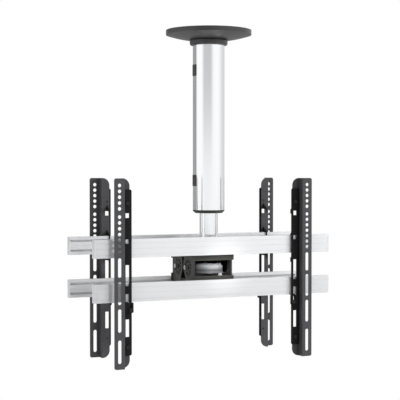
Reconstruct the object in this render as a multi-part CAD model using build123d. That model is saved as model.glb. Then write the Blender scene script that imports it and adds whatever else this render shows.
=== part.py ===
from build123d import *
import math
import os

os.makedirs("parts", exist_ok=True)

# Double-sided ceiling mount for two flat screens, hung back to back.
# The frame is millimetres, +Z up, with the origin in the middle of the ceiling plate's top face,
# so every height below is negative. +X runs along the bars, and -Y is the front carrier's side.

# Ceiling plate and its cover
plate_radius = 76.0
plate_thickness = 5.0
plate_hole_diameter = 9.0
plate_hole_circle = 58.0
plate_hole_count = 4
plate_cable_hole = 22.0
spigot_length = 58.0
spigot_wall = 4.0
canopy_radius = 105.0
canopy_rim = 11.0
canopy_dome = 16.0
canopy_wall = 2.2
collar_radius = 46.5
collar_height = 11.8
collar_round = 4.5
cover_gap = 0.35
cover_travel = 42.0

# Telescopic column
tube_radius = 39.0
tube_wall = 3.4
tube_length = 434.0
tube_top = -6.0
tube_flat_width = 20.8
tube_fit = 0.25
tube_screw_drop = 26.0
tube_screw_diameter = 6.0
cable_window_width = 15.0
cable_window_height = 22.0
cable_cover_height = 27.6
cable_cover_margin = 0.4
cable_cover_thickness = 1.5
cable_cover_drops = (98.3, 367.5)
end_ring_height = 7.5
end_ring_bevel = 5.5
bush_length = 46.0
inner_radius = 22.5
inner_wall = 2.5
inner_top = -160.0
slide_gap = 0.3
guide_length = 38.0
lock_screw_diameter = 8.0
lock_screw_head = 13.0
lock_screw_head_height = 8.0
lock_screw_drop = 420.0

# Swivel hub and yoke at the foot of the column
hub_radius = 40.0
hub_bottom = -593.5
hub_side = 10.5
hub_dome = 13.0
hub_neck = 28.0
hub_groove = 1.2
hub_groove_height = 2.0
hub_groove_rise = 6.0
hub_flat_gap = 0.6
hub_cavity_radius = 28.4
hub_cavity_height = 17.0
swivel_gap = 0.06
washer_thickness = 1.6
washer_width = 4.4
flange_radius = 27.4
flange_thickness = 5.0
plug_thickness = 12.0
hub_bolt_diameter = 12.0
hub_bolt_head = 19.0
hub_bolt_head_height = 7.5
hub_screw_radius = 25.7
hub_screw_diameter = 3.0
hub_screw_head = 5.5
hub_screw_head_height = 3.0
hub_screw_count = 3
yoke_thickness = 7.0
yoke_neck = 13.0
yoke_skirt = 9.0
yoke_wall = 4.0
yoke_half_depth = 45.0
yoke_seat_gap = 0.02
cheek_thickness = 6.0
cheek_lobe = 13.0
cheek_gap = 0.5
cheek_depth = 50.0
ear_reach = 24.0
ear_half_height = 17.5

# Folded brackets, one each side of the column
carrier_x = -18.0
bracket_left = -51.4
bracket_right = 51.1
bracket_lug = 4.3
bracket_half_depth = 64.0
bracket_sheet = 3.0
bracket_height = 90.0
bracket_fold = 2.6
window_height = 37.0
side_height = 86.0
side_nose = 3.0
side_nose_height = 6.0
side_top_angle = 11.0
side_bottom_angle = 28.0
pivot_depth = 30.0
pivot_height = -578.5
pivot_pin_diameter = 8.0
pivot_pin_gap = 0.05
pivot_pin_head = 12.0
pivot_pin_head_height = 1.6
star_slots = 12
star_inner = 11.5
star_outer = 21.0
star_slot_width = 4.2
tilt_screw_radius = 13.0
tilt_screw_diameter = 5.0
tilt_screw_head = 10.6
tilt_screw_head_height = 2.8
tilt_slot_gap = 0.5
tilt_down = 15.0
tilt_up = 5.0
index_hole_radius = 14.0
index_hole_diameter = 5.0

# Extruded bars
bar_length = 620.4
bar_height = 43.5
bar_depth = 15.0
bar_spacing = 103.0
front_bar_offset = 2.5
rear_bar_offset = 9.9
bar_wall = 2.2
slot_opening = 5.2
slot_lip = 2.2
slot_channel_width = 11.0
slot_channel_depth = 4.4
slot_edge = 9.9
face_line_width = 0.8
face_line_depth = 0.3
face_line_drops = (9.9, 22.4, 36.4)
cap_thickness = 2.5
cap_screw_spacing = 22.0
cap_screw_diameter = 4.6
bar_bolt_diameter = 5.0
bar_bolt_head = 9.0
bar_bolt_head_height = 4.0
bar_bolt_spacing = 66.0
bar_nut_length = 14.0

# Screen strips, their hook rails and latches
strip_height = 440.0
strip_above_bar = 141.0
strip_sheet = 2.0
flange_width = 26.0
web_depth = 20.0
shelf_width = 18.2
shelf_corner = 20.0
flange_corner = 5.0
bar_gap = 0.5
screw_hole = 8.5
hole_first = 16.3
hole_pitch = 13.4
hole_group_one = 5
hole_group_two = 7
hole_group_gap = 18.8
slot_tops = (183.2, 237.2, 300.8, 372.4)
slot_lengths = (45.2, 53.8, 53.8, 54.4)
rail_sheet = 2.5
rail_gap = 0.15
rail_inset = 26.0
rail_length = 385.0
rail_edge = 48.3
rail_start = 27.5
rail_corner = 4.0
hook_start = 37.0
hook_sheet = 2.0
hook_side_gap = 0.4
hook_rise = 11.0
hook_neck = 2.5
hook_drops = (78.35, 138.35, 198.35)
hook_tip = 10.2
hook_tip_width = 3.0
window_start = 33.0
window_width = 10.0
open_tops = (78.0, 138.0, 198.0, 268.0, 327.0)
open_bottoms = (91.7, 151.5, 250.0, 306.0, 368.0)
rail_screw_drops = (58.0, 392.0)
rail_screw_diameter = 5.0
rail_screw_head = 9.0
rail_screw_head_height = 2.6
latch_sheet = 2.5
latch_edge = 51.8
latch_start = 30.0
latch_height = 24.0
latch_tip = 7.0
latch_gap = 0.4
latch_side_gap = 1.0
latch_arm_width = 8.0
latch_travel = 11.0
latch_screw_head = 9.0
latch_screw_diameter = 5.0

# How far each strip's outer edge stands from the middle of its bracket; left is the -X side
front_left_reach = 266.0
front_right_reach = 252.6
rear_left_reach = 256.4
rear_right_reach = 249.8

# Places worked out from the sizes above
collar_top = -(canopy_rim + canopy_dome) + 2.0
tube_bottom = tube_top - tube_length
tube_bore = tube_radius - tube_wall
tube_flat = math.sqrt(tube_radius ** 2 - (tube_flat_width / 2) ** 2)
spigot_radius = tube_bore - tube_fit
hub_top = hub_bottom + hub_side + hub_dome
hub_seat = hub_bottom + hub_cavity_height
tube_end = hub_seat - washer_thickness
yoke_seat = hub_top + yoke_seat_gap
yoke_bottom = yoke_seat + yoke_neck
yoke_top = yoke_bottom + yoke_thickness
upper_bar_z = pivot_height + bar_spacing / 2 + 2.7
lower_bar_z = upper_bar_z - bar_spacing
bar_inner = -bracket_half_depth
bar_outer = bar_inner - bar_depth
shelf_inner = bar_outer - bar_gap
flange_outer = shelf_inner - web_depth
strip_top = upper_bar_z + bar_height / 2 + strip_above_bar
rail_inner = shelf_inner - strip_sheet - rail_gap
rail_outer = rail_inner - rail_sheet
latch_inner = rail_outer - rail_gap
latch_outer = latch_inner - latch_sheet
bracket_z = (upper_bar_z + lower_bar_z) / 2


def block(x0, x1, y0, y1, z0, z1):
    """A box between two opposite corners."""
    size = Box(abs(x1 - x0), abs(y1 - y0), abs(z1 - z0))
    return Pos((x0 + x1) / 2, (y0 + y1) / 2, (z0 + z1) / 2) * size


def upright(radius, z0, z1, x=0.0, y=0.0):
    """A vertical cylinder between two heights."""
    return Pos(x, y, (z0 + z1) / 2) * Cylinder(radius, abs(z1 - z0))


def along_y(radius, y0, y1, x, z):
    """A cylinder that lies along Y."""
    return Pos(x, (y0 + y1) / 2, z) * Rot(90, 0, 0) * Cylinder(radius, abs(y1 - y0))


def along_x(radius, x0, x1, y, z):
    """A cylinder that lies along X."""
    return Pos((x0 + x1) / 2, y, z) * Rot(0, 90, 0) * Cylinder(radius, abs(x1 - x0))


def revolved(points):
    """A turned solid from a half section of (radius, height) points."""
    outline = make_face(Polyline(*[(r, 0, z) for r, z in points], close=True))
    return revolve(outline, Axis.Z)


def rear(shape):
    """The same piece on the rear carrier, turned half a turn about the middle of the brackets."""
    return Pos(carrier_x, 0, 0) * Rot(0, 0, 180) * Pos(-carrier_x, 0, 0) * shape


def save(shape, name):
    export_step(shape, "parts/" + name + ".step")


def hex_socket(width, depth):
    """The hexagon that is sunk into a screw head, along Z, from its top face down."""
    hexagon = RegularPolygon(width / 2, 6, major_radius=False)
    return Pos(0, 0, -depth / 2) * extrude(hexagon, depth / 2, both=True)


# Ceiling plate: a steel disc with four fixing holes, a cable hole and a welded spigot for the tube.
def ceiling_plate():
    disc = upright(plate_radius, 0, -plate_thickness)
    spigot_bottom = -plate_thickness - spigot_length
    spigot = upright(spigot_radius, -plate_thickness, spigot_bottom)
    spigot_bore = upright(spigot_radius - spigot_wall, -plate_thickness, spigot_bottom)
    body = disc + (spigot - spigot_bore) - upright(plate_cable_hole, 0, -plate_thickness)
    for index in range(plate_hole_count):
        angle = math.radians(45 + index * 360 / plate_hole_count)
        x = plate_hole_circle * math.cos(angle)
        y = plate_hole_circle * math.sin(angle)
        body -= upright(plate_hole_diameter / 2, 0, -plate_thickness, x, y)
    for angle in tube_screw_angles:
        body -= tube_screw_bore(angle)
    return body


tube_screw_angles = (60, 180 + 60, 360 - 60)


def tube_screw_bore(angle):
    reach = tube_radius + 1
    bore = Pos(reach / 2, 0, -tube_screw_drop) * Rot(0, 90, 0) * Cylinder(tube_screw_diameter / 2, reach)
    return Rot(0, 0, angle) * bore


def tube_screws():
    """Three flush grub screws through the tube into the spigot."""
    inner = spigot_radius - spigot_wall
    outer = tube_radius - 0.6
    screws = []
    for angle in tube_screw_angles:
        shank = along_x(tube_screw_diameter / 2, inner, outer, 0, -tube_screw_drop)
        socket = Pos(outer, 0, -tube_screw_drop) * Rot(0, 90, 0) * hex_socket(3.0, 3.0)
        screws.append(Rot(0, 0, angle) * (shank - socket))
    return Compound(children=screws)


# Canopy: a shallow dished cover that hides the ceiling plate and can slide down the tube.
def canopy():
    outer = canopy_shell(canopy_radius, canopy_rim, canopy_dome)
    inner = canopy_shell(canopy_radius - canopy_wall, canopy_rim, canopy_dome - canopy_wall)
    bore = upright(tube_radius + cover_gap, 0, -60)
    return outer - inner - bore


def canopy_shell(radius, rim, dome):
    """The solid under a canopy's outline: a straight rim and a shallow round dish below it."""
    sphere = (radius ** 2 + dome ** 2) / (2 * dome)
    middle = -rim - dome + sphere - math.sqrt(sphere ** 2 - (radius / 2) ** 2)
    top = Line((0, 0, 0), (radius, 0, 0))
    side = Line((radius, 0, 0), (radius, 0, -rim))
    curve = ThreePointArc((radius, 0, -rim), (radius / 2, 0, middle), (0, 0, -rim - dome))
    axis = Line((0, 0, -rim - dome), (0, 0, 0))
    return revolve(make_face([top, side, curve, axis]), Axis.Z)


# Collar: the thick ring that closes the canopy on the tube.
def canopy_collar():
    bottom = collar_top - collar_height
    ring = upright(collar_radius, collar_top, bottom)
    low_edge = ring.edges().filter_by(GeomType.CIRCLE).sort_by(Axis.Z)[0]
    ring = fillet(low_edge, collar_round)
    ring -= upright(tube_radius + cover_gap, 0, -60)
    return ring - canopy_shell(canopy_radius, canopy_rim, canopy_dome)


# Outer tube: an anodised extrusion with one flat side for the cable entries.
def outer_tube():
    body = upright(tube_radius, tube_top, tube_bottom) - upright(tube_bore, tube_top, tube_bottom)
    flat = block(-tube_radius - 1, -tube_flat, -tube_radius, tube_radius, tube_top, tube_bottom)
    body -= flat
    for drop in cable_cover_drops:
        body -= cable_window(drop, 0.0, -tube_radius - 1, -tube_bore + 6)
    for angle in tube_screw_angles:
        body -= tube_screw_bore(angle)
    body -= along_y(lock_screw_diameter / 2, 0, tube_radius + 1, 0, -lock_screw_drop)
    return body


def cable_window(drop, margin, x0, x1):
    half_width = cable_window_width / 2 - margin
    half_height = cable_window_height / 2 - margin
    return block(x0, x1, -half_width, half_width, -drop - half_height, -drop + half_height)


# Cable covers: clip-in plastic plates over the two cable entries of the flat side.
def cable_cover(drop):
    half_width = tube_flat_width / 2 - cable_cover_margin
    half_height = cable_cover_height / 2
    front = -tube_flat - cable_cover_thickness
    plate = block(front, -tube_flat, -half_width, half_width, -drop - half_height, -drop + half_height)
    plate = fillet(plate.edges().filter_by(Axis.X), 1.5)
    plug = cable_window(drop, tube_fit, -tube_flat, -tube_flat + 2.0)
    grip = block(front - 1, front + 0.6, -half_width + 3, half_width - 3, -drop + 7.5, -drop + 9.0)
    return plate + plug - grip


# End ring: the moulded foot of the outer tube, with its guide bush inside the tube.
def end_ring():
    bottom = tube_bottom - end_ring_height
    top = tube_bottom + bush_length
    bore = inner_radius + slide_gap
    lip = tube_radius - end_ring_bevel
    section = [(bore, bottom), (lip, bottom), (tube_radius, tube_bottom - 2.0), (tube_radius, tube_bottom),
               (tube_bore - tube_fit, tube_bottom), (tube_bore - tube_fit, top), (bore, top)]
    return revolved(section) - along_y(lock_screw_diameter / 2, 0, tube_radius, 0, -lock_screw_drop)


# Height lock screw: at the back of the tube's foot, it bears on the inner tube.
def height_lock_screw():
    seat = tube_radius + 0.4
    shank = along_y(lock_screw_diameter / 2, inner_radius + slide_gap, seat, 0, -lock_screw_drop)
    head = along_y(lock_screw_head / 2, seat, seat + lock_screw_head_height, 0, -lock_screw_drop)
    socket = Pos(0, seat + lock_screw_head_height, -lock_screw_drop) * Rot(-90, 0, 0) * hex_socket(6.0, 4.0)
    return shank + head - socket


# Inner tube: the sliding part of the column.
def inner_tube():
    bore = upright(inner_radius - inner_wall, inner_top, tube_end)
    return upright(inner_radius, inner_top, tube_end) - bore


# Guide: a moulded ring on the top of the inner tube, which runs in the outer tube.
def tube_guide():
    outer = tube_bore - slide_gap
    ring = upright(outer, inner_top, inner_top - guide_length)
    ring -= upright(inner_radius, inner_top, inner_top - guide_length)
    waist = upright(outer + 1, inner_top - 12, inner_top - guide_length + 12)
    waist -= upright(outer - 2.5, inner_top, inner_top - guide_length)
    return ring - waist


# Swivel hub: a turned aluminium body that runs on the inner tube and hangs on the flange inside it.
def swivel_hub():
    side_top = hub_bottom + hub_side
    outline = [(hub_radius, hub_bottom), (hub_radius, side_top)]
    steps = 8
    for index in range(1, steps):
        angle = math.pi / 2 * index / steps
        radius = hub_neck + (hub_radius - hub_neck) * math.cos(angle)
        outline.append((radius, side_top + hub_dome * math.sin(angle)))
    outline += [(hub_neck, hub_top), (0, hub_top), (0, hub_bottom)]
    body = revolved(outline)
    groove_bottom = hub_bottom + hub_groove_rise
    groove_top = groove_bottom + hub_groove_height
    ring = upright(hub_radius + 1, groove_bottom, groove_top)
    body -= ring - upright(hub_radius - hub_groove, groove_bottom, groove_top)
    body -= upright(hub_cavity_radius, hub_bottom, hub_seat)
    body -= upright(inner_radius + swivel_gap, hub_top, hub_bottom)
    flat = cheek_right + cheek_gap - hub_flat_gap
    body -= block(flat, hub_radius + 1, -hub_radius, hub_radius, hub_bottom, hub_top)
    for side in (-1, 1):
        body -= yoke_lobe(cheek_right - cheek_thickness, cheek_right + 1, side, tube_fit)
    for x, y in hub_screw_places():
        body -= upright(hub_screw_diameter / 2, hub_seat, hub_top, x, y)
    return body


def hub_screw_places():
    places = []
    for index in range(hub_screw_count):
        angle = math.radians(60 + index * 360 / hub_screw_count)
        places.append((hub_screw_radius * math.cos(angle), hub_screw_radius * math.sin(angle)))
    return places


def hub_screws():
    """The screws that hold the hub up against the yoke."""
    screws = []
    for x, y in hub_screw_places():
        shank = upright(hub_screw_diameter / 2, hub_seat + 2, yoke_top, x, y)
        head = upright(hub_screw_head / 2, yoke_top, yoke_top + hub_screw_head_height, x, y)
        socket = Pos(x, y, yoke_top + hub_screw_head_height) * hex_socket(2.5, 1.8)
        screws.append(shank + head - socket)
    return Compound(children=screws)


# Tube plug: a threaded steel disc fixed in the end of the inner tube, which takes the hub bolt.
def tube_plug():
    body = upright(inner_radius - inner_wall, tube_end, tube_end + plug_thickness)
    return body - upright(hub_bolt_diameter / 2, tube_end, tube_end + plug_thickness)


# Swivel flange: a steel disc bolted under the inner tube; the hub turns on it.
def swivel_flange():
    body = upright(flange_radius, tube_end, tube_end - flange_thickness)
    return body - upright(hub_bolt_diameter / 2, tube_end, tube_end - flange_thickness)


def hub_bolt():
    """The bolt under the flange."""
    seat = tube_end - flange_thickness
    shank = upright(hub_bolt_diameter / 2, seat, tube_end + plug_thickness)
    prism = extrude(RegularPolygon(hub_bolt_head / 2, 6, major_radius=False), hub_bolt_head_height)
    return shank + Pos(0, 0, seat - hub_bolt_head_height) * prism


# Swivel washer: a low-friction ring between the flange and the hub.
def swivel_washer():
    inner = inner_radius + slide_gap
    return upright(inner + washer_width, tube_end, hub_seat) - upright(inner, tube_end, hub_seat)


cheek_left = carrier_x + bracket_left + bracket_sheet + cheek_gap
cheek_right = carrier_x + bracket_right - bracket_sheet - cheek_gap


def yoke_lobe(x0, x1, side, margin):
    """One rounded ear of the yoke, with some margin all round where it is cut from another piece."""
    ear = along_x(cheek_lobe + margin, x0 - margin, x1, side * pivot_depth, pivot_height)
    inner = side * (pivot_depth - cheek_lobe - margin)
    outer = side * (pivot_depth + cheek_lobe + margin)
    return ear + block(x0 - margin, x1, inner, outer, pivot_height, yoke_bottom)


# Yoke: a cast piece fixed on the hub, which carries both brackets between its ears.
def swivel_yoke():
    skirt_bottom = yoke_bottom - yoke_skirt
    body = block(cheek_left, cheek_right, -yoke_half_depth, yoke_half_depth, skirt_bottom, yoke_top)
    body = fillet(body.edges().filter_by(Axis.Z), 4.0)
    pocket_half = yoke_half_depth - yoke_wall
    body -= block(cheek_left + cheek_thickness, cheek_right - cheek_thickness, -pocket_half, pocket_half,
                  skirt_bottom - 1, yoke_bottom)
    for x0, x1 in ((cheek_left, cheek_left + cheek_thickness), (cheek_right - cheek_thickness, cheek_right)):
        for side in (-1, 1):
            body += yoke_lobe(x0, x1, side, 0)
    left_inner = cheek_left + cheek_thickness
    body += block(cheek_left, left_inner, -pivot_depth, pivot_depth, yoke_bottom - cheek_depth, yoke_bottom)
    body += upright(hub_neck, yoke_seat, yoke_bottom)
    ear_end = pivot_depth + ear_reach
    ear = block(cheek_left, cheek_left + cheek_thickness, -ear_end, ear_end, pivot_height - ear_half_height,
                pivot_height + ear_half_height)
    body += fillet(ear.edges().filter_by(Axis.X), cheek_thickness)
    body -= upright(inner_radius + slide_gap, yoke_seat - 1, yoke_top + 1)
    for side in (-1, 1):
        body -= along_x(pivot_pin_diameter / 2, cheek_left, cheek_right, side * pivot_depth, pivot_height)
    for y in tilt_screw_places():
        body -= along_x(tilt_screw_diameter / 2, cheek_left, cheek_left + cheek_thickness, y, pivot_height)
    for x, y in hub_screw_places():
        body -= upright(hub_screw_diameter / 2, yoke_seat, yoke_top, x, y)
    return body


def tilt_screw_places():
    """Where the front and the rear bracket's lock screws stand along Y, both in the left cheeks."""
    return (-pivot_depth + tilt_screw_radius, pivot_depth + tilt_screw_radius)


# Bracket: one folded sheet, with a windowed plate behind the bars and two cheeks around the yoke.
def front_bracket():
    left = carrier_x + bracket_left
    right = carrier_x + bracket_right
    back = bar_inner + bracket_sheet
    top = bracket_z + bracket_height / 2
    bottom = bracket_z - bracket_height / 2
    body = block(left, right + bracket_lug, bar_inner, back, bottom, top)
    window_top = pivot_height + window_height / 2
    window_bottom = pivot_height - window_height / 2
    body -= block(left + bracket_sheet, right - bracket_sheet, bar_inner - 1, back + 1, window_bottom,
                  window_top)
    body -= block(right, right + bracket_lug + 1, bar_inner - 1, back + 1, window_bottom, window_top)
    for x0 in (left, right - bracket_sheet):
        body += side_cheek(x0)
    folds = body.edges().filter_by(Axis.Z).filter_by_position(Axis.X, left - 0.01, left + 0.01)
    folds = folds.filter_by_position(Axis.Y, bar_inner - 0.01, bar_inner + 0.01)
    body = fillet(folds, bracket_fold)
    for x, z in bar_bolt_places():
        body -= along_y(bar_bolt_diameter / 2, bar_inner - 1, back + 1, x, z)
    return body


def side_cheek(x0):
    top = side_height / 2
    nose = side_nose_height / 2
    rise = math.tan(math.radians(side_top_angle)) * (top - nose)
    fall = math.tan(math.radians(side_bottom_angle)) * (top - nose)
    outline = [(bar_inner, -top), (bar_inner, top), (-side_nose - rise, top), (-side_nose, nose),
               (-side_nose, -nose), (-side_nose - fall, -top)]
    points = [(x0, y, pivot_height + z) for y, z in outline]
    cheek = extrude(make_face(Polyline(*points, close=True)), bracket_sheet, dir=(1, 0, 0))
    x1 = x0 + bracket_sheet
    cheek -= along_x(pivot_pin_diameter / 2 + pivot_pin_gap, x0 - 1, x1 + 1, -pivot_depth, pivot_height)
    inward = 1 if x0 < carrier_x else -1
    cheek -= tilt_slot(x0 - 1, x1 + 1, inward)
    hole_y = -pivot_depth - inward * index_hole_radius
    cheek -= along_x(index_hole_diameter / 2, x0 - 1, x1 + 1, hole_y, pivot_height)
    step = 360 / star_slots
    beside = -step if inward > 0 else 180 - step
    for index in range(star_slots):
        angle = step * index
        if angle not in (0, 180) and abs(angle - beside % 360) > 1:
            cheek -= star_slot(x0 - 1, x1 + 1, angle)
    return cheek


def star_slot(x0, x1, angle):
    slot = block(x0, x1, star_inner, star_outer, -star_slot_width / 2, star_slot_width / 2)
    slot = fillet(slot.edges().filter_by(Axis.X), star_slot_width / 2 - 0.05)
    return Pos(0, -pivot_depth, pivot_height) * Rot(angle, 0, 0) * slot


def tilt_slot(x0, x1, inward):
    """The arc that the lock screw runs in as the bracket tilts; the bottom swings towards the column."""
    half = tilt_screw_diameter / 2 + tilt_slot_gap
    slot = None
    steps = 10
    for index in range(steps + 1):
        angle = -tilt_up + (tilt_up + tilt_down) * index / steps
        turned = math.radians(-angle)
        y = -pivot_depth + inward * tilt_screw_radius * math.cos(turned)
        z = pivot_height + inward * tilt_screw_radius * math.sin(turned)
        piece = along_x(half, x0, x1, y, z)
        slot = piece if slot is None else slot + piece
    return slot


def bar_bolt_places():
    """Bolt places on the front bracket, three along each bar's slot that is nearer the middle."""
    places = []
    slot_reach = bar_height / 2 - slot_edge
    for z in (upper_bar_z - slot_reach, lower_bar_z + slot_reach):
        for step in (-1, 0, 1):
            places.append((carrier_x + step * bar_bolt_spacing / 2, z))
    return places


def front_bar_bolts():
    bolts = []
    seat = bar_inner + bracket_sheet
    for x, z in bar_bolt_places():
        shank = along_y(bar_bolt_diameter / 2, bar_inner - slot_lip - slot_channel_depth + 0.4, seat, x, z)
        head = along_y(bar_bolt_head / 2, seat, seat + bar_bolt_head_height, x, z)
        socket = Pos(x, seat + bar_bolt_head_height, z) * Rot(-90, 0, 0) * hex_socket(4.0, 2.4)
        bolts.append(shank + head - socket)
    return Compound(children=bolts)


def front_slot_nuts():
    """Slot nuts in the bars, one for each bolt."""
    nuts = []
    y1 = bar_inner - slot_lip
    y0 = y1 - slot_channel_depth + 0.4
    half = slot_channel_width / 2 - 0.4
    for x, z in bar_bolt_places():
        nut = block(x - bar_nut_length / 2, x + bar_nut_length / 2, y0, y1, z - half, z + half)
        nuts.append(nut - along_y(bar_bolt_diameter / 2, y0 - 1, y1 + 1, x, z))
    return Compound(children=nuts)


def pivot_pins(side):
    """Two shouldered pins, one through each cheek of a bracket."""
    pins = []
    left = carrier_x + bracket_left
    right = carrier_x + bracket_right
    y = side * pivot_depth
    places = ((left, cheek_left + cheek_thickness, -1), (right, cheek_right - cheek_thickness, 1))
    for outer, inner, sign in places:
        seat = outer + sign * 0.3
        shank = along_x(pivot_pin_diameter / 2, seat, inner, y, pivot_height)
        head = along_x(pivot_pin_head / 2, seat, seat + sign * pivot_pin_head_height, y, pivot_height)
        pins.append(shank + head)
    return Compound(children=pins)


def tilt_screw(y):
    """A socket-head screw that locks a bracket's tilt against the yoke."""
    seat = carrier_x + bracket_left - 0.3
    shank = along_x(tilt_screw_diameter / 2, seat, cheek_left + cheek_thickness, y, pivot_height)
    top = seat - tilt_screw_head_height
    head = along_x(tilt_screw_head / 2, seat, top, y, pivot_height)
    socket = Pos(top, y, pivot_height) * Rot(0, -90, 0) * hex_socket(4.0, 1.8)
    return shank + head - socket


# Bar: an extruded box section with two slots in its inner face and fine lines in its outer face.
def bar(z, offset):
    x0 = carrier_x + offset - bar_length / 2 + cap_thickness
    x1 = x0 + bar_length - 2 * cap_thickness
    top = z + bar_height / 2
    bottom = z - bar_height / 2
    body = block(x0, x1, bar_outer, bar_inner, bottom, top)
    body = fillet(body.edges().filter_by(Axis.X), 0.8)
    channel_inner = bar_inner - slot_lip
    channel_outer = channel_inner - slot_channel_depth
    for side in (-1, 1):
        slot_z = z + side * (bar_height / 2 - slot_edge)
        body -= block(x0 - 1, x1 + 1, channel_outer, channel_inner, slot_z - slot_channel_width / 2,
                      slot_z + slot_channel_width / 2)
        body -= block(x0 - 1, x1 + 1, channel_inner, bar_inner + 1, slot_z - slot_opening / 2,
                      slot_z + slot_opening / 2)
    chamber_outer = bar_outer + bar_wall
    chamber_inner = channel_outer - bar_wall
    body -= block(x0 - 1, x1 + 1, chamber_outer, chamber_inner, bottom + bar_wall, top - bar_wall)
    web_half = bar_height / 2 - slot_edge - slot_channel_width / 2 - bar_wall
    body -= block(x0 - 1, x1 + 1, chamber_outer, bar_inner - slot_lip, z - web_half, z + web_half)
    for drop in face_line_drops:
        line_z = top - drop
        line_half = face_line_width / 2
        body -= block(x0 - 1, x1 + 1, bar_outer - 1, bar_outer + face_line_depth, line_z - line_half,
                      line_z + line_half)
    body -= block(x0 - 1, x1 + 1, bar_inner - face_line_depth, bar_inner + 1, z - face_line_width,
                  z + face_line_width)
    return body


def bar_caps(z, offset):
    """Two end caps of one bar, each a plate with a short plug and two screw heads."""
    caps = []
    x0 = carrier_x + offset - bar_length / 2
    top = z + bar_height / 2
    bottom = z - bar_height / 2
    for end, sign in ((x0, 1), (x0 + bar_length, -1)):
        inner = end + sign * cap_thickness
        plate = block(end, inner, bar_outer, bar_inner, bottom, top)
        plate = fillet(plate.edges().filter_by(Axis.X), 0.8)
        web_half = bar_height / 2 - slot_edge - slot_channel_width / 2 - bar_wall - tube_fit
        plug = block(inner, inner + sign * 6, bar_outer + bar_wall + tube_fit,
                     bar_inner - slot_lip - tube_fit, z - web_half, z + web_half)
        cap = plate + plug
        for side in (-1, 1):
            middle = (bar_outer + bar_inner) / 2
            height = z + side * cap_screw_spacing / 2
            cap -= along_x(cap_screw_diameter / 2, end - 1, end + sign * 0.8, middle, height)
        caps.append(cap)
    return Compound(children=caps)


# Strip: a folded sheet with a holed flange for the screen, a web and a shelf that lies on the bars.
def strip(left, mirrored):
    """A left-hand strip whose outer edge stands at X = left; a right-hand one is its mirror image."""
    top = strip_top
    bottom = top - strip_height
    flange = block(0, flange_width, flange_outer, flange_outer + strip_sheet, bottom, top)
    outer_edges = flange.edges().filter_by(Axis.Y).sort_by(Axis.X)[:2]
    flange = fillet(outer_edges, flange_corner)
    web = block(flange_width - strip_sheet, flange_width, flange_outer, shelf_inner, bottom, top)
    shelf = block(flange_width - strip_sheet, flange_width + shelf_width, shelf_inner - strip_sheet,
                  shelf_inner, bottom, top)
    inner_edges = shelf.edges().filter_by(Axis.Y).sort_by(Axis.X)[-2:]
    shelf = fillet(inner_edges, shelf_corner - strip_sheet)
    body = flange + web + shelf
    fold = body.edges().filter_by(Axis.Z).filter_by_position(Axis.X, flange_width - 0.1, flange_width + 0.1)
    outer_fold = [edge for edge in fold if abs(edge.center().Y - flange_outer) < 0.1]
    if outer_fold:
        body = fillet(outer_fold, strip_sheet * 0.9)
    for z in hole_heights():
        body -= along_y(screw_hole / 2, flange_outer - 1, flange_outer + strip_sheet + 1, flange_width / 2, z)
    for drop, length in zip(slot_tops, slot_lengths):
        body -= upright_slot(flange_width / 2, screw_hole, top - drop, top - drop - length)
    for drop, end in zip(open_tops, open_bottoms):
        body -= block(window_start, window_start + window_width, shelf_inner - strip_sheet - 1,
                      shelf_inner + 1, top - end, top - drop)
    for drop in hook_drops:
        slot_top = top - drop + hook_rise + hook_side_gap
        body -= block(hook_start - hook_side_gap, hook_start + hook_sheet + hook_side_gap,
                      shelf_inner - strip_sheet - 1, shelf_inner + 1, top - drop, slot_top)
    for drop in rail_screw_drops:
        body -= along_y(rail_screw_diameter / 2, shelf_inner - strip_sheet - 1, shelf_inner + 1, rail_screw_x,
                        top - drop)
    return placed(body, left, mirrored)


rail_screw_x = flange_width + 12.0
window_end = window_start + window_width


def hole_heights():
    heights = []
    for index in range(hole_group_one):
        heights.append(strip_top - hole_first - index * hole_pitch)
    start = hole_first + (hole_group_one - 1) * hole_pitch + hole_group_gap
    for index in range(hole_group_two):
        heights.append(strip_top - start - index * hole_pitch)
    return heights


def upright_slot(x, width, z_top, z_bottom):
    """A round-ended vertical slot through the flange."""
    radius = width / 2
    y0 = flange_outer - 1
    y1 = flange_outer + strip_sheet + 1
    slot = block(x - radius, x + radius, y0, y1, z_bottom + radius, z_top - radius)
    slot += along_y(radius, y0, y1, x, z_top - radius)
    return slot + along_y(radius, y0, y1, x, z_bottom + radius)


def placed(shape, left, mirrored):
    """Stands a strip's piece in its place; mirrored pieces count inward from their right edge."""
    if mirrored:
        shape = mirror(shape, Plane.YZ)
    return Pos(left, 0, 0) * shape


# Hook rail: a flat rail on the strip's shelf, with three hooks that reach through it over the bars.
def hook_rail(left, mirrored):
    top = strip_top - rail_inset
    bottom = top - rail_length
    body = block(rail_start, rail_edge, rail_outer, rail_inner, bottom, top)
    body = fillet(body.edges().filter_by(Axis.Y).sort_by(Axis.X)[-2:], rail_corner)
    for drop, end in zip(open_tops, open_bottoms):
        body -= block(window_start, window_end, rail_outer - 1, rail_inner + 1, strip_top - end,
                      strip_top - drop)
    for drop in hook_drops:
        z = strip_top - drop
        body += block(window_start - 1, window_end + 1, rail_outer, rail_inner, z - hook_neck, z + 3)
        body += hook(z)
    for drop in rail_screw_drops:
        body -= along_y(rail_screw_diameter / 2, rail_outer - 1, rail_inner + 1, rail_screw_x,
                        strip_top - drop)
    body -= along_y(latch_screw_diameter / 2, rail_outer - 1, rail_inner + 1, latch_screw_x, latch_screw_z)
    return placed(body, left, mirrored)


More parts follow.
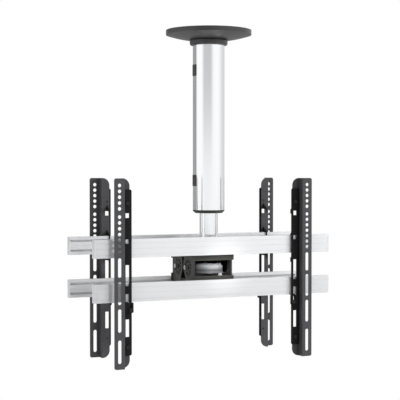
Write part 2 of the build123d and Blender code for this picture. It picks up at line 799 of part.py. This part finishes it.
def hook(z):
    """One upright hook plate, square to the rail, which ends in a tip behind the bar."""
    tip_outer = bar_inner + bar_gap
    tip_inner = tip_outer + hook_tip_width
    outline = [(rail_outer, z + hook_rise), (rail_inner, z + hook_rise), (tip_inner, z),
               (tip_inner, z - hook_tip), (tip_outer, z - hook_tip), (tip_outer, z - hook_neck),
               (rail_outer, z - hook_neck)]
    points = [(hook_start, y, height) for y, height in outline]
    return extrude(make_face(Polyline(*points, close=True)), hook_sheet, dir=(1, 0, 0))


lower_bar_drop = strip_top - (lower_bar_z - bar_height / 2)
latch_arm_start = window_start + latch_side_gap
latch_top = strip_top - lower_bar_drop - latch_gap
latch_screw_x = 45.0
latch_screw_z = latch_top - latch_height + 7


def rail_screws(left, mirrored):
    """Two low-headed shoulder screws that hold the rail to the strip and let it be levelled."""
    screws = []
    for drop in rail_screw_drops:
        z = strip_top - drop
        shank = along_y(rail_screw_diameter / 2, rail_outer, shelf_inner, rail_screw_x, z)
        head = along_y(rail_screw_head / 2, rail_outer - rail_screw_head_height, rail_outer, rail_screw_x, z)
        face = rail_outer - rail_screw_head_height
        socket = Pos(rail_screw_x, face, z) * Rot(90, 0, 0) * hex_socket(3.0, 1.4)
        screws.append(placed(shank + head - socket, left, mirrored))
    return Compound(children=screws)


# Latch: a slider on the hook rail, whose hook closes under the lower bar.
def latch(left, mirrored):
    z1 = latch_top
    z0 = latch_top - latch_height
    body = block(latch_start, latch_edge, latch_outer, latch_inner, z0, z1)
    body = fillet(body.edges().filter_by(Axis.Y).sort_by(Axis.X)[-2:], 2.5)
    x0 = latch_arm_start
    x1 = latch_arm_start + latch_arm_width
    tip_inner = bar_inner + bar_gap
    body += block(x0, x1, latch_inner, tip_inner + latch_sheet, z1 - latch_sheet, z1)
    body += block(x0, x1, tip_inner, tip_inner + latch_sheet, z1 - latch_sheet, z1 + latch_tip)
    for shift in range(0, int(latch_travel) + 1):
        body -= along_y(latch_screw_diameter / 2 + 0.4, latch_outer - 1, latch_inner + 1, latch_screw_x,
                        latch_screw_z + shift)
    return placed(body, left, mirrored)


def latch_screw(left, mirrored):
    """The small screw that clamps the latch on the rail."""
    shank = along_y(latch_screw_diameter / 2, latch_outer - 0.3, rail_inner, latch_screw_x, latch_screw_z)
    head = along_y(latch_screw_head / 2, latch_outer - 3.3, latch_outer - 0.3, latch_screw_x, latch_screw_z)
    socket = Pos(latch_screw_x, latch_outer - 3.3, latch_screw_z) * Rot(90, 0, 0) * hex_socket(3.0, 1.6)
    return placed(shank + head - socket, left, mirrored)


# The column
save(ceiling_plate(), "ceiling_plate")
save(tube_screws(), "tube_screws")
save(canopy(), "canopy")
save(canopy_collar(), "canopy_collar")
save(outer_tube(), "outer_tube")
save(cable_cover(cable_cover_drops[0]), "upper_cable_cover")
save(cable_cover(cable_cover_drops[1]), "lower_cable_cover")
save(end_ring(), "end_ring")
save(height_lock_screw(), "height_lock_screw")
save(inner_tube(), "inner_tube")
save(tube_guide(), "tube_guide")
save(tube_plug(), "tube_plug")
save(swivel_flange(), "swivel_flange")
save(hub_bolt(), "hub_bolt")
save(swivel_washer(), "swivel_washer")
save(swivel_hub(), "swivel_hub")
save(hub_screws(), "hub_screws")
save(swivel_yoke(), "swivel_yoke")

# The brackets and bars
bracket = front_bracket()
bolts = front_bar_bolts()
nuts = front_slot_nuts()
save(bracket, "front_bracket")
save(rear(bracket), "rear_bracket")
save(pivot_pins(-1), "front_pivot_pins")
save(pivot_pins(1), "rear_pivot_pins")
save(tilt_screw(tilt_screw_places()[0]), "front_tilt_screw")
save(tilt_screw(tilt_screw_places()[1]), "rear_tilt_screw")
for side, turn, shift in (("front", lambda shape: shape, front_bar_offset), ("rear", rear, rear_bar_offset)):
    save(turn(bar(upper_bar_z, shift)), side + "_upper_bar")
    save(turn(bar(lower_bar_z, shift)), side + "_lower_bar")
    save(turn(bar_caps(upper_bar_z, shift)), side + "_upper_bar_caps")
    save(turn(bar_caps(lower_bar_z, shift)), side + "_lower_bar_caps")
    save(turn(bolts), side + "_bar_bolts")
    save(turn(nuts), side + "_slot_nuts")

# The strips: a rear one is made at the front on the other side, and turned to its place
places = (
    ("front_left", carrier_x - front_left_reach, False, False),
    ("front_right", carrier_x + front_right_reach, True, False),
    ("rear_left", carrier_x + rear_left_reach, True, True),
    ("rear_right", carrier_x - rear_right_reach, False, True),
)
for name, edge, mirrored, at_rear in places:
    turn = rear if at_rear else (lambda shape: shape)
    save(turn(strip(edge, mirrored)), name + "_strip")
    save(turn(hook_rail(edge, mirrored)), name + "_hook_rail")
    save(turn(rail_screws(edge, mirrored)), name + "_rail_screws")
    save(turn(latch(edge, mirrored)), name + "_latch")
    save(turn(latch_screw(edge, mirrored)), name + "_latch_screw")
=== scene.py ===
import math

import bpy
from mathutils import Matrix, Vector


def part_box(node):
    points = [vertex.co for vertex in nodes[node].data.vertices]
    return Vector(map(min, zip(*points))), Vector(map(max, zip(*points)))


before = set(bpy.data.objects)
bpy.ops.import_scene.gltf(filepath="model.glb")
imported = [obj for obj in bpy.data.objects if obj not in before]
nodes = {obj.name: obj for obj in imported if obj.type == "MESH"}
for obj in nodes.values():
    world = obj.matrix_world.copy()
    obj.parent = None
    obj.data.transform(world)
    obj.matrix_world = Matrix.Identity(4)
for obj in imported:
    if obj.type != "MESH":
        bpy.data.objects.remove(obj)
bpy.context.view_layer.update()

# The camera.
# It stands in front of the mount and to the left, a little above the brackets, and looks
# through a long lens that keeps the bars nearly parallel.
camera_data = bpy.data.cameras.new("camera")
camera_data.sensor_width = 36.0
camera_data.lens = 106.2
camera_data.clip_end = 60.0
camera = bpy.data.objects.new("camera", camera_data)
camera.location = (-1.2265, -2.6334, -0.3473)
camera.rotation_euler = (math.radians(88.648), 0.0, math.radians(-24.5545))
bpy.context.scene.collection.objects.link(camera)
bpy.context.scene.camera = camera
bpy.context.scene.view_settings.view_transform = "Standard"

# The studio.
# A white surround that gives soft light. Metal mirrors a plain studio in it: a grey wall
# above eye level in front, and a dark corner behind on the left.
world = bpy.data.worlds.new("surround")
bpy.context.scene.world = world
world.use_nodes = True
tree = world.node_tree
tree.nodes.clear()


def feed(tree, value, socket):
    """Links a socket to another one, or sets it to a plain value."""
    if hasattr(value, "links"):
        tree.links.new(value, socket)
    else:
        socket.default_value = value


def math_node(tree, operation, first, second):
    """A sum, product or other step on two numbers, each a socket or a plain value."""
    node = tree.nodes.new("ShaderNodeMath")
    node.operation = operation
    feed(tree, first, node.inputs[0])
    feed(tree, second, node.inputs[1])
    return node.outputs[0]


def remap(tree, value, from_low, from_high, to_low, to_high, kind="LINEAR"):
    """A value carried from one range to another, held at the ends."""
    node = tree.nodes.new("ShaderNodeMapRange")
    node.interpolation_type = kind
    feed(tree, value, node.inputs["Value"])
    node.inputs["From Min"].default_value = from_low
    node.inputs["From Max"].default_value = from_high
    node.inputs["To Min"].default_value = to_low
    node.inputs["To Max"].default_value = to_high
    return node.outputs["Result"]


def round_levels(tree, share, stops):
    """Grey levels all round the horizon, given as (degrees from the front towards +X, level)."""
    ramp = tree.nodes.new("ShaderNodeValToRGB")
    ramp.color_ramp.interpolation = "EASE"
    elements = ramp.color_ramp.elements
    elements.remove(elements[-1])
    for index, (angle, level) in enumerate(stops):
        place = (angle + 180.0) / 360.0
        element = elements[0] if index == 0 else elements.new(place)
        element.position = place
        element.color = (level, level, level, 1.0)
    feed(tree, share, ramp.inputs["Fac"])
    return ramp.outputs["Color"]


def glowing(tree, colour, strength):
    """A plain light that comes from all sides."""
    node = tree.nodes.new("ShaderNodeBackground")
    node.inputs["Color"].default_value = (*colour, 1.0)
    feed(tree, strength, node.inputs["Strength"])
    return node.outputs[0]


def mixed_light(tree, share, first, second):
    """The first light where the share is 0, and the second where it is 1."""
    node = tree.nodes.new("ShaderNodeMixShader")
    feed(tree, share, node.inputs["Fac"])
    feed(tree, first, node.inputs[1])
    feed(tree, second, node.inputs[2])
    return node.outputs[0]


direction = tree.nodes.new("ShaderNodeTexCoord")
heading = tree.nodes.new("ShaderNodeSeparateXYZ")
feed(tree, direction.outputs["Generated"], heading.inputs[0])
forward = math_node(tree, "MULTIPLY", heading.outputs["Y"], -1.0)
turn = math_node(tree, "ARCTAN2", heading.outputs["X"], forward)
share = remap(tree, turn, -math.pi, math.pi, 0.0, 1.0)
wall_levels = (
    (-180, 0.56), (-165, 0.34), (-152, 0.34), (-140, 0.66), (-124, 0.86), (-110, 1.0),
    (-86, 1.0), (-66, 0.98), (20, 0.98), (40, 1.0), (60, 0.94), (82, 0.76), (98, 0.70),
    (130, 0.66), (180, 0.56))
walls = round_levels(tree, share, wall_levels)
high_wall = round_levels(tree, share, ((-78, 0.0), (-54, 1.0), (-16, 1.0), (16, 0.0)))
above = remap(tree, heading.outputs["Z"], -0.005, 0.075, 0.0, 0.44, "SMOOTHSTEP")
high_shade = math_node(tree, "SUBTRACT", 1.0, math_node(tree, "MULTIPLY", high_wall, above))
mirrored_level = math_node(tree, "MULTIPLY", walls, high_shade)

mirrored = glowing(tree, (0.995, 1.0, 1.01), mirrored_level)
white = glowing(tree, (1.0, 1.0, 1.0), 1.0)
soft = glowing(tree, (1.0, 1.0, 1.0), 0.42)
path = tree.nodes.new("ShaderNodeLightPath")
lit = mixed_light(tree, path.outputs["Is Glossy Ray"], soft, mirrored)
seen = math_node(tree, "MAXIMUM", path.outputs["Is Camera Ray"],
                 path.outputs["Is Transmission Ray"])
output = tree.nodes.new("ShaderNodeOutputWorld")
feed(tree, mixed_light(tree, seen, lit, white), output.inputs["Surface"])


# The lamps.
# Two soft boxes stand high on the right and low on the left. A narrow spot in front reaches
# the hub through the bracket's window. None of them is mirrored in the metal.
def soft_box(name, width, height):
    lamp_data = bpy.data.lights.new(name, "AREA")
    lamp_data.shape = "RECTANGLE"
    lamp_data.size = width
    lamp_data.size_y = height
    return lamp_data


def hang_lamp(lamp_data, place, target, power):
    """Hangs a lamp at a place and aims it at a point."""
    lamp_data.energy = power
    lamp = bpy.data.objects.new(lamp_data.name, lamp_data)
    lamp.location = place
    lamp.rotation_euler = (Vector(target) - Vector(place)).to_track_quat("-Z", "Y").to_euler()
    lamp.visible_glossy = False
    bpy.context.scene.collection.objects.link(lamp)


mount_middle = (0.0, 0.0, -0.5)
hub_front = (0.0, -0.03, -0.58)
hang_lamp(soft_box("key_light", 0.45, 0.45), (2.7, -1.6, 0.7), mount_middle, power=90.0)
hang_lamp(soft_box("side_light", 1.4, 2.0), (-2.6, -1.0, -0.8), mount_middle, power=25.0)
spot_data = bpy.data.lights.new("window_light", "SPOT")
spot_data.spot_size = math.radians(2.0)
spot_data.spot_blend = 1.0
spot_data.shadow_soft_size = 0.05
hang_lamp(spot_data, (0.3, -2.9, -0.1), hub_front, power=380.0)

# The floor.
# A plain pale floor far below the hanging mount. It is matte paper, and it looks white where
# the camera sees it.
reach = 12.0
drop = -1.6
corners = [(-reach, -reach, 0.0), (reach, -reach, 0.0), (reach, reach, 0.0), (-reach, reach, 0.0)]
floor_mesh = bpy.data.meshes.new("floor")
floor_mesh.from_pydata(corners, [], [(0, 1, 2, 3)])
floor = bpy.data.objects.new("floor", floor_mesh)
floor.location = (0.0, 0.0, drop)
bpy.context.scene.collection.objects.link(floor)
paper = bpy.data.materials.new("floor_paper")
paper.use_nodes = True
tree = paper.node_tree
shader = tree.nodes["Principled BSDF"]
shader.inputs["Base Color"].default_value = (0.86, 0.86, 0.86, 1.0)
shader.inputs["Roughness"].default_value = 0.9
glow = tree.nodes.new("ShaderNodeEmission")
glow.inputs["Color"].default_value = (1.0, 1.0, 1.0, 1.0)
path = tree.nodes.new("ShaderNodeLightPath")
looks = mixed_light(tree, path.outputs["Is Camera Ray"], shader.outputs[0], glow.outputs[0])
feed(tree, looks, tree.nodes["Material Output"].inputs["Surface"])
floor_mesh.materials.append(paper)


# Ceiling plate.
# A zinc-plated steel disc with a welded spigot, on which the outer tube slips. The zinc has
# its faint cloudy bloom, and the cut edges are broken by a fraction of a millimetre.
def node_group(name, inputs, outputs):
    """An empty shader group with named float, colour or vector sockets."""
    group = bpy.data.node_groups.new(name, "ShaderNodeTree")
    for label, kind, value in inputs:
        socket = group.interface.new_socket(label, in_out="INPUT", socket_type=kind)
        socket.default_value = value
    for label, kind in outputs:
        group.interface.new_socket(label, in_out="OUTPUT", socket_type=kind)
    start = group.nodes.new("NodeGroupInput")
    end = group.nodes.new("NodeGroupOutput")
    return group, start, end


def use_group(tree, group, **values):
    """Places a shader group in a material and sets its plain inputs."""
    node = tree.nodes.new("ShaderNodeGroup")
    node.node_tree = group
    for label, value in values.items():
        node.inputs[label].default_value = value
    return node


def scaled(tree, colour, factor):
    """A colour made lighter or darker by a factor."""
    node = tree.nodes.new("ShaderNodeVectorMath")
    node.operation = "SCALE"
    feed(tree, colour, node.inputs[0])
    feed(tree, factor, node.inputs["Scale"])
    return node.outputs[0]


cloudy_tone, start, end = node_group(
    "cloudy_tone",
    [("Colour", "NodeSocketColor", (0.5, 0.5, 0.5, 1.0)), ("Strength", "NodeSocketFloat", 0.1),
     ("Scale", "NodeSocketFloat", 20.0)],
    [("Colour", "NodeSocketColor"), ("Mask", "NodeSocketFloat")])
coords = cloudy_tone.nodes.new("ShaderNodeTexCoord")
clouds = cloudy_tone.nodes.new("ShaderNodeTexNoise")
clouds.inputs["Detail"].default_value = 4.0
feed(cloudy_tone, coords.outputs["Object"], clouds.inputs["Vector"])
feed(cloudy_tone, start.outputs["Scale"], clouds.inputs["Scale"])
centred = math_node(cloudy_tone, "SUBTRACT", clouds.outputs["Fac"], 0.5)
swing = math_node(cloudy_tone, "MULTIPLY", centred, start.outputs["Strength"])
factor = math_node(cloudy_tone, "ADD", swing, 1.0)
feed(cloudy_tone, scaled(cloudy_tone, start.outputs["Colour"], factor), end.inputs["Colour"])
feed(cloudy_tone, clouds.outputs["Fac"], end.inputs["Mask"])

soft_edge, start, end = node_group(
    "soft_edge", [("Radius", "NodeSocketFloat", 0.0004)],
    [("Normal", "NodeSocketVector"), ("Edge", "NodeSocketFloat")])
rounding = soft_edge.nodes.new("ShaderNodeBevel")
rounding.samples = 4
surface = soft_edge.nodes.new("ShaderNodeNewGeometry")
facing = soft_edge.nodes.new("ShaderNodeVectorMath")
facing.operation = "DOT_PRODUCT"
feed(soft_edge, start.outputs["Radius"], rounding.inputs["Radius"])
feed(soft_edge, rounding.outputs["Normal"], facing.inputs[0])
feed(soft_edge, surface.outputs["Normal"], facing.inputs[1])
turned_away = math_node(soft_edge, "SUBTRACT", 1.0, facing.outputs["Value"])
feed(soft_edge, rounding.outputs["Normal"], end.inputs["Normal"])
feed(soft_edge, remap(soft_edge, turned_away, 0.02, 0.2, 0.0, 1.0), end.inputs["Edge"])


def new_material(name, metallic, roughness):
    material = bpy.data.materials.new(name)
    material.use_nodes = True
    tree = material.node_tree
    shader = tree.nodes["Principled BSDF"]
    shader.inputs["Metallic"].default_value = metallic
    shader.inputs["Roughness"].default_value = roughness
    return material, tree, shader


def fine_relief(tree, shader, height, depth, strength, edge_radius):
    """Gives the surface a fine relief over softened edges. Returns the mask of the edges."""
    edges = use_group(tree, soft_edge, Radius=edge_radius)
    bump = tree.nodes.new("ShaderNodeBump")
    bump.inputs["Distance"].default_value = depth
    bump.inputs["Strength"].default_value = strength
    feed(tree, height, bump.inputs["Height"])
    feed(tree, edges.outputs["Normal"], bump.inputs["Normal"])
    feed(tree, bump.outputs["Normal"], shader.inputs["Normal"])
    return edges.outputs["Edge"]


def zinc_plate(name, colour, roughness):
    material, tree, shader = new_material(name, 1.0, roughness)
    bloom = use_group(tree, cloudy_tone, Colour=(*colour, 1.0), Strength=0.35, Scale=60.0)
    feed(tree, bloom.outputs["Colour"], shader.inputs["Base Color"])
    fine_relief(tree, shader, bloom.outputs["Mask"], depth=0.0002, strength=0.3,
                edge_radius=0.0003)
    return material


def dress(material, *names):
    """Puts a material on CAD nodes in place of the one they came with."""
    for name in names:
        nodes[name].data.materials.clear()
        nodes[name].data.materials.append(material)


zinc = zinc_plate("zinc_plate", (0.62, 0.63, 0.64), roughness=0.34)
dress(zinc, "ceiling_plate")


# Dark screws, pins and bolts.
# Black-oxide steel, nearly black, with a worn bright line on the edges of the sockets. Three
# of them pin the outer tube to the spigot, and the others hold the hub, brackets and bars.
def edge_wear_and_highlight(tree, colour, worn_and_highlit, edge, amount):
    """A colour that turns lighter along the edges, as wear and as a painted highlight."""
    node = tree.nodes.new("ShaderNodeMix")
    node.data_type = "RGBA"
    node.inputs["B"].default_value = (*worn_and_highlit, 1.0)
    feed(tree, math_node(tree, "MULTIPLY", edge, amount), node.inputs["Factor"])
    feed(tree, colour, node.inputs["A"])
    return node.outputs["Result"]


def dark_steel(name, colour, worn_and_highlit, roughness, gloss):
    material, tree, shader = new_material(name, 0.0, roughness)
    shader.inputs["Specular IOR Level"].default_value = gloss
    tone = use_group(tree, cloudy_tone, Colour=(*colour, 1.0), Strength=0.5, Scale=180.0)
    edge = fine_relief(tree, shader, tone.outputs["Mask"], depth=0.0001, strength=0.25,
                       edge_radius=0.0003)
    colour = edge_wear_and_highlight(tree, tone.outputs["Colour"], worn_and_highlit, edge, 0.5)
    feed(tree, colour, shader.inputs["Base Color"])
    return material


black_oxide = dark_steel("black_oxide", (0.02, 0.02, 0.021), (0.12, 0.12, 0.12),
                         roughness=0.4, gloss=0.3)
dress(black_oxide, "tube_screws", "height_lock_screw", "hub_screws", "front_pivot_pins",
      "rear_pivot_pins", "front_bar_bolts", "rear_bar_bolts")

# Canopy and collar.
# A spun steel dish and a thick ring below it, both powder coated satin black. The coat has a
# fine orange-peel grain, and grey is painted where it rounds the rim, as wear and painted
# highlight.
# Painted shade: ambient occlusion darkens a colour where surfaces are shut in.
painted_crevice_shade, start, end = node_group(
    "painted_crevice_shade", [("Depth", "NodeSocketFloat", 0.01), ("Strength", "NodeSocketFloat", 0.5)],
    [("Light", "NodeSocketFloat")])
hollow = painted_crevice_shade.nodes.new("ShaderNodeAmbientOcclusion")
hollow.samples = 8
feed(painted_crevice_shade, start.outputs["Depth"], hollow.inputs["Distance"])
shut_in = math_node(painted_crevice_shade, "SUBTRACT", 1.0, hollow.outputs["AO"])
taken = math_node(painted_crevice_shade, "MULTIPLY", shut_in, start.outputs["Strength"])
feed(painted_crevice_shade, math_node(painted_crevice_shade, "SUBTRACT", 1.0, taken), end.inputs["Light"])

coat_grain, start, end = node_group(
    "coat_grain", [("Scale", "NodeSocketFloat", 1500.0)],
    [("Height", "NodeSocketFloat"), ("Tone", "NodeSocketFloat")])
coords = coat_grain.nodes.new("ShaderNodeTexCoord")
peel = coat_grain.nodes.new("ShaderNodeTexNoise")
peel.inputs["Detail"].default_value = 2.0
peel.inputs["Roughness"].default_value = 0.4
broad = coat_grain.nodes.new("ShaderNodeTexNoise")
broad.inputs["Scale"].default_value = 14.0
broad.inputs["Detail"].default_value = 3.0
feed(coat_grain, coords.outputs["Object"], peel.inputs["Vector"])
feed(coat_grain, coords.outputs["Object"], broad.inputs["Vector"])
feed(coat_grain, start.outputs["Scale"], peel.inputs["Scale"])
feed(coat_grain, peel.outputs["Fac"], end.inputs["Height"])
feed(coat_grain, broad.outputs["Fac"], end.inputs["Tone"])


def with_painted_shade(tree, colour, depth, strength):
    """A colour darkened where the surface is shut in: painted shade."""
    light = use_group(tree, painted_crevice_shade, Depth=depth, Strength=strength)
    return scaled(tree, colour, light.outputs["Light"])


def uneven_polish(tree, shader, tone, roughness, spread):
    """A roughness that changes a little over the surface."""
    rough = remap(tree, tone, 0.0, 1.0, roughness - spread, roughness + spread)
    feed(tree, rough, shader.inputs["Roughness"])


def powder_coat(name, colour, worn_and_highlit, roughness, grain, edge_radius, gloss, shade=0.5,
                shade_depth=0.02):
    material, tree, shader = new_material(name, 0.0, roughness)
    shader.inputs["Specular IOR Level"].default_value = gloss
    texture = use_group(tree, coat_grain, Scale=grain)
    edge = fine_relief(tree, shader, texture.outputs["Height"], depth=0.00012, strength=0.35,
                       edge_radius=edge_radius)
    tone = use_group(tree, cloudy_tone, Colour=(*colour, 1.0), Strength=0.3, Scale=35.0)
    # Painted highlight and wear: the colour turns lighter along the rounded edges.
    colour = edge_wear_and_highlight(tree, tone.outputs["Colour"], worn_and_highlit, edge, 0.55)
    # Painted shade: the coat's colour darkens where the surface is shut in.
    feed(tree, with_painted_shade(tree, colour, shade_depth, shade), shader.inputs["Base Color"])
    uneven_polish(tree, shader, texture.outputs["Tone"], roughness, 0.06)
    return material


canopy_coat = powder_coat("canopy_coat", (0.041, 0.041, 0.043), (0.10, 0.10, 0.10),
                          roughness=0.34, grain=1300.0, edge_radius=0.0012, gloss=0.55)
dress(canopy_coat, "canopy", "canopy_collar")

# Outer tube and inner tube.
# Bright anodised aluminium, drawn through a die that leaves very faint lines along the tube.
# The outer one has a flat side for the cable covers, and the inner one slides in it.
drawn_lines, start, end = node_group(
    "drawn_lines", [("Across", "NodeSocketVector", (900.0, 900.0, 4.0))],
    [("Height", "NodeSocketFloat"), ("Tone", "NodeSocketFloat")])
coords = drawn_lines.nodes.new("ShaderNodeTexCoord")
stretch = drawn_lines.nodes.new("ShaderNodeVectorMath")
stretch.operation = "MULTIPLY"
feed(drawn_lines, coords.outputs["Object"], stretch.inputs[0])
feed(drawn_lines, start.outputs["Across"], stretch.inputs[1])
lines = drawn_lines.nodes.new("ShaderNodeTexNoise")
lines.inputs["Scale"].default_value = 1.0
lines.inputs["Detail"].default_value = 3.0
feed(drawn_lines, stretch.outputs[0], lines.inputs["Vector"])
bands = drawn_lines.nodes.new("ShaderNodeTexNoise")
bands.inputs["Scale"].default_value = 1.0
feed(drawn_lines, scaled(drawn_lines, stretch.outputs[0], 0.08), bands.inputs["Vector"])
feed(drawn_lines, lines.outputs["Fac"], end.inputs["Height"])
feed(drawn_lines, bands.outputs["Fac"], end.inputs["Tone"])


def anodised(name, colour, roughness, across, relief, metallic, shade):
    """Anodised aluminium; across gives how many lines a metre holds along each axis."""
    material, tree, shader = new_material(name, metallic, roughness)
    marks = use_group(tree, drawn_lines, Across=across)
    fine_relief(tree, shader, marks.outputs["Height"], depth=0.00005, strength=relief,
                edge_radius=0.0004)
    tone = scaled(tree, colour, remap(tree, marks.outputs["Tone"], 0.0, 1.0, 0.96, 1.04))
    # Painted shade: the metal's colour darkens in grooves and corners.
    feed(tree, with_painted_shade(tree, tone, 0.003, shade), shader.inputs["Base Color"])
    uneven_polish(tree, shader, marks.outputs["Tone"], roughness, 0.04)
    return material


tube_metal = anodised("tube_metal", (0.985, 0.99, 0.995), roughness=0.14,
                      across=(500.0, 500.0, 3.0), relief=0.01, metallic=1.0, shade=0.3)
dress(tube_metal, "outer_tube", "inner_tube")


# Cable covers, end ring and tube guide.
# Moulded black plastic, matte, with the fine texture of the mould. The covers clip into the
# tube's flat side, and the ring closes its foot around the guide.
def moulded(name, colour, roughness, grain, gloss):
    material, tree, shader = new_material(name, 0.0, roughness)
    shader.inputs["Specular IOR Level"].default_value = gloss
    texture = use_group(tree, coat_grain, Scale=grain)
    tone = use_group(tree, cloudy_tone, Colour=(*colour, 1.0), Strength=0.25, Scale=50.0)
    fine_relief(tree, shader, texture.outputs["Height"], depth=0.0001, strength=0.5,
                edge_radius=0.0005)
    feed(tree, tone.outputs["Colour"], shader.inputs["Base Color"])
    return material


black_plastic = moulded("black_plastic", (0.056, 0.056, 0.052), roughness=0.55, grain=2600.0,
                        gloss=0.35)
dress(black_plastic, "upper_cable_cover", "lower_cable_cover", "end_ring", "tube_guide")

# Swivel bearing.
# A zinc-plated plug in the inner tube's foot carries a flange on one bolt. The hub turns on
# the flange over a pale nylon washer.
nylon = moulded("nylon", (0.78, 0.76, 0.70), roughness=0.5, grain=900.0, gloss=0.4)
dress(nylon, "swivel_washer")
dress(zinc, "swivel_flange", "tube_plug", "hub_bolt")

# Swivel hub.
# A puck of turned aluminium, whose fine lathe rings blur what it mirrors into upright
# streaks. Its colour is painted bright on the domed top and darker down the side, as painted
# light.
hub_metal = anodised("hub_metal", (0.92, 0.94, 0.96), roughness=0.4, across=(6.0, 6.0, 900.0),
                     relief=0.4, metallic=0.15, shade=0.8)
tree = hub_metal.node_tree
shader = tree.nodes["Principled BSDF"]
turned = shader.inputs["Base Color"].links[0].from_socket
hub_low, hub_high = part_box("swivel_hub")
dome_foot = hub_low[2] + 0.4 * (hub_high[2] - hub_low[2])
dome_crown = hub_high[2] - 0.006
coords = tree.nodes.new("ShaderNodeTexCoord")
height = tree.nodes.new("ShaderNodeSeparateXYZ")
feed(tree, coords.outputs["Object"], height.inputs[0])
# Painted light: the colour runs from 0.35 of itself at the dome's foot to full at its crown.
painted_dome_light = remap(tree, height.outputs["Z"], dome_foot, dome_crown, 0.35, 1.0)
feed(tree, scaled(tree, turned, painted_dome_light), shader.inputs["Base Color"])
dress(hub_metal, "swivel_hub")

# Yoke and brackets.
# The yoke is cast and painted a deep black, made darker and glossless as painted shade. The
# brackets are folded sheet, powder coated in a warm black, with grey painted on the cut edges as
# wear and painted highlight.
# The yoke's near-black colour without gloss is partly painted shade inside the bracket.
yoke_coat_and_shade = powder_coat("yoke_coat_and_shade", (0.003, 0.003, 0.003), (0.012, 0.012, 0.012),
                        roughness=0.55, grain=1400.0, edge_radius=0.0006, gloss=0.0, shade=0.9)
dress(yoke_coat_and_shade, "swivel_yoke")
bracket_coat = powder_coat("bracket_coat", (0.085, 0.085, 0.078), (0.24, 0.24, 0.23),
                           roughness=0.45, grain=1500.0, edge_radius=0.0006, gloss=0.12,
                           shade=1.0, shade_depth=0.05)
dress(bracket_coat, "front_bracket", "rear_bracket")

# Tilt lock screws.
# Bright zinc-plated cap screws, the only shiny steel on the brackets. Each runs through the
# arc in a cheek and clamps the tilt.
bright_zinc = zinc_plate("bright_zinc", (0.85, 0.85, 0.84), roughness=0.2)
dress(bright_zinc, "front_tilt_screw", "rear_tilt_screw")

# Bars, their end caps and slot nuts.
# Extruded aluminium, satin anodised: the lines of the die run along the bar and blur
# reflections upright. The caps are pale grey plastic, and the nuts in the slots are zinc.
bar_metal = anodised("bar_metal", (0.95, 0.955, 0.965), roughness=0.2,
                     across=(3.0, 700.0, 700.0), relief=0.4, metallic=0.4, shade=0.3)
cap_plastic = moulded("cap_plastic", (0.76, 0.77, 0.79), roughness=0.45, grain=1800.0, gloss=0.5)
for side in ("front", "rear"):
    dress(bar_metal, side + "_upper_bar", side + "_lower_bar")
    dress(cap_plastic, side + "_upper_bar_caps", side + "_lower_bar_caps")
    dress(zinc, side + "_slot_nuts")

# Strips, hook rails and latches.
# Folded sheet, powder coated satin black. The rails and latches that grip the bars are a deeper
# and flatter black, partly their own coat and partly painted shade, and dark screws hold them to
# the strips.
strip_coat = powder_coat("strip_coat", (0.067, 0.067, 0.071), (0.16, 0.16, 0.16),
                         roughness=0.38, grain=1500.0, edge_radius=0.0010, gloss=0.4, shade=0.6)
# The rails are painted darker than the strips, partly as painted shade.
rail_coat_and_shade = powder_coat("rail_coat_and_shade", (0.016, 0.016, 0.017), (0.06, 0.06, 0.06),
                        roughness=0.5, grain=1500.0, edge_radius=0.0005, gloss=0.1, shade=0.7)
for place in ("front_left", "front_right", "rear_left", "rear_right"):
    dress(strip_coat, place + "_strip")
    dress(rail_coat_and_shade, place + "_hook_rail", place + "_latch")
    dress(black_oxide, place + "_rail_screws", place + "_latch_screw")
